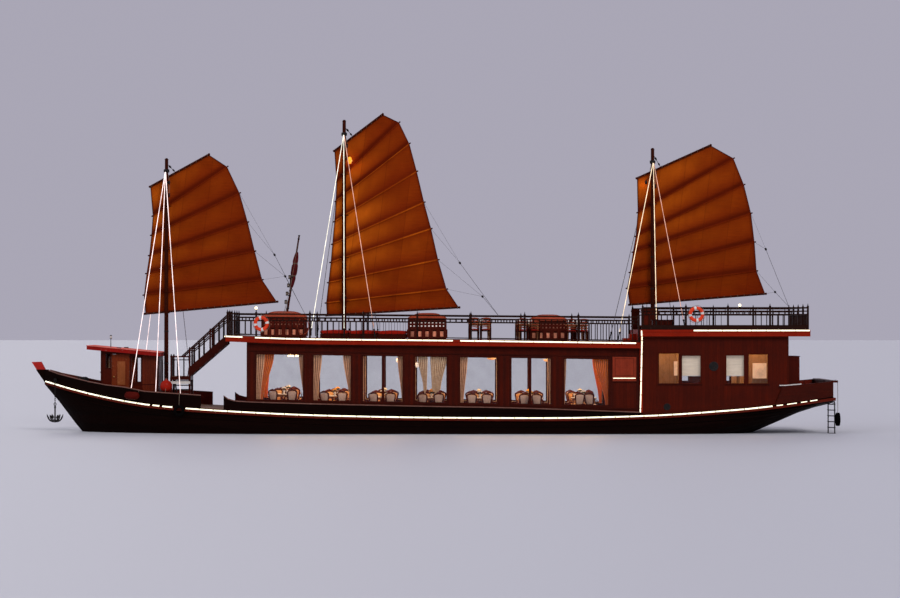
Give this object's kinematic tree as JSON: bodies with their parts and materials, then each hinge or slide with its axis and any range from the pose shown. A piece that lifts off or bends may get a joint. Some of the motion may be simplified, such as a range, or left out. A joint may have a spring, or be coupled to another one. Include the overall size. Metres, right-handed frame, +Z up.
{
  "type": "chinese junk ship",
  "caption": "Motor junk for dinner cruises with a dark decked hull, a long saloon, an aft cabin, a wheelhouse forward, railed upper decks and three battened junk sails",
  "frame": {"origin": "amidships on the waterline, in the middle of the beam", "axes": "+X forward to the bow, +Y to port, +Z up"},
  "size_m": [35.04, 6.2806, 15.6293],
  "materials": {
    "hull_paint": "gloss black paint",
    "rail_paint": "dark red-brown paint",
    "house_wood": "dark red-brown varnish",
    "fascia_paint": "brick red paint",
    "roof_paint": "faded red paint",
    "spar_wood": "near-black brown varnish",
    "sail_cloth": "burnt orange woven cloth",
    "stay_wire": "wire wound with lamps",
    "window_glass": "clear",
    "iron": "painted dark",
    "bronze": "bronze",
    "stem_red": "red paint",
    "door_wood": "orange-brown varnish",
    "booth_wood": "pinkish orange paint",
    "seat_wood": "brown varnish"
  },
  "bodies": {
    "boat": {"hull": "hull_paint", "rub_rail": "rail_paint", "stem_head": "stem_red", "bulwark_bow": "hull_paint", "bulwark_port": "hull_paint", "bulwark_starboard": "hull_paint", "bulwark_stern": "rail_paint", "wheelhouse_side_port": "house_wood", "wheelhouse_side_starboard": "house_wood", "wheelhouse_front": "house_wood", "wheelhouse_rear": "house_wood", "wheelhouse_roof": "roof_paint", "helm_console": "door_wood", "windlass": "iron", "anchor": "iron", "stairs": "spar_wood", "upper_deck": "fascia_paint", "aft_upper_deck": "fascia_paint", "saloon_wall_port": "house_wood", "saloon_wall_starboard": "house_wood", "saloon_front_wall": "house_wood", "saloon_glass_port": "window_glass", "saloon_glass_starboard": "window_glass", "saloon_furniture": "seat_wood", "aft_cabin_side_port": "house_wood", "aft_cabin_side_starboard": "house_wood", "aft_cabin_front": "house_wood", "aft_cabin_rear": "house_wood", "aft_cabin_glass_port": "window_glass", "aft_cabin_glass_starboard": "window_glass", "stern_locker": "spar_wood", "railing_port": "spar_wood", "railing_starboard": "spar_wood", "railing_aft": "spar_wood", "booth_1": "booth_wood", "booth_2": "booth_wood", "booth_3": "booth_wood", "upper_tables_port": "seat_wood", "upper_tables_starboard": "seat_wood", "signal_mast": "spar_wood", "mast_fore": "spar_wood", "stays_fore": "stay_wire", "mast_main": "spar_wood", "stays_main": "stay_wire", "mast_mizzen": "spar_wood", "stays_mizzen": "stay_wire"},
    "rudder": {"rudder": "hull_paint"},
    "propeller": {"propeller": "bronze"},
    "helm_wheel": {"helm_wheel": "door_wood"},
    "wheelhouse_door_port": {"wheelhouse_door_port": "door_wood"},
    "wheelhouse_door_starboard": {"wheelhouse_door_starboard": "door_wood"},
    "saloon_door_port": {"saloon_door_port": "door_wood"},
    "saloon_door_starboard": {"saloon_door_starboard": "door_wood"},
    "aft_cabin_door": {"aft_cabin_door": "door_wood"},
    "sail_fore": {"sail_fore": "sail_cloth", "spars_fore": "spar_wood"},
    "sail_main": {"sail_main": "sail_cloth", "spars_main": "spar_wood"},
    "sail_mizzen": {"sail_mizzen": "sail_cloth", "spars_mizzen": "spar_wood"}
  },
  "joints": [
    {"name": "rudder_turn", "type": "hinge", "parent": "boat", "child": "rudder", "pos_m": [-13.35, 0, -1], "axis": [0, 0, 1], "range_deg": [-35, 35]},
    {"name": "propeller_spin", "type": "hinge", "parent": "boat", "child": "propeller", "pos_m": [-12.75, 0, -1.02], "axis": [1, 0, 0], "continuous": true},
    {"name": "helm_turn", "type": "hinge", "parent": "boat", "child": "helm_wheel", "pos_m": [13.85, 0, 2.32], "axis": [1, 0, 0], "range_deg": [-420, 420]},
    {"name": "wheelhouse_door_port_swing", "type": "hinge", "parent": "boat", "child": "wheelhouse_door_port", "pos_m": [13.06, 1.0643, 2.5], "axis": [0, 0, 1], "range_deg": [0, 100]},
    {"name": "wheelhouse_door_starboard_swing", "type": "hinge", "parent": "boat", "child": "wheelhouse_door_starboard", "pos_m": [13.06, -1.0643, 2.5], "axis": [0, 0, -1], "range_deg": [0, 100]},
    {"name": "saloon_door_port_swing", "type": "hinge", "parent": "boat", "child": "saloon_door_port", "pos_m": [7.8343, 0.606, 2], "axis": [0, 0, 1], "range_deg": [0, 100]},
    {"name": "saloon_door_starboard_swing", "type": "hinge", "parent": "boat", "child": "saloon_door_starboard", "pos_m": [7.8343, -0.606, 2], "axis": [0, 0, -1], "range_deg": [0, 100]},
    {"name": "aft_cabin_door_swing", "type": "hinge", "parent": "boat", "child": "aft_cabin_door", "pos_m": [-15.4143, -1.906, 2.4], "axis": [0, 0, 1], "range_deg": [0, 100]},
    {"name": "sail_fore_swing", "type": "hinge", "parent": "boat", "child": "sail_fore", "pos_m": [11.58, 0, 5.3], "axis": [0, 0, 1], "range_deg": [-45, 45]},
    {"name": "sail_main_swing", "type": "hinge", "parent": "boat", "child": "sail_main", "pos_m": [3.76, 0, 5.2], "axis": [0, 0, 1], "range_deg": [-45, 45]},
    {"name": "sail_mizzen_swing", "type": "hinge", "parent": "boat", "child": "sail_mizzen", "pos_m": [-9.82, 0, 5.7], "axis": [0, 0, 1], "range_deg": [-45, 45]}
  ],
  "couplings": [
    {"joint": "helm_turn", "follows": "rudder_turn", "ratio": 12}
  ]
}
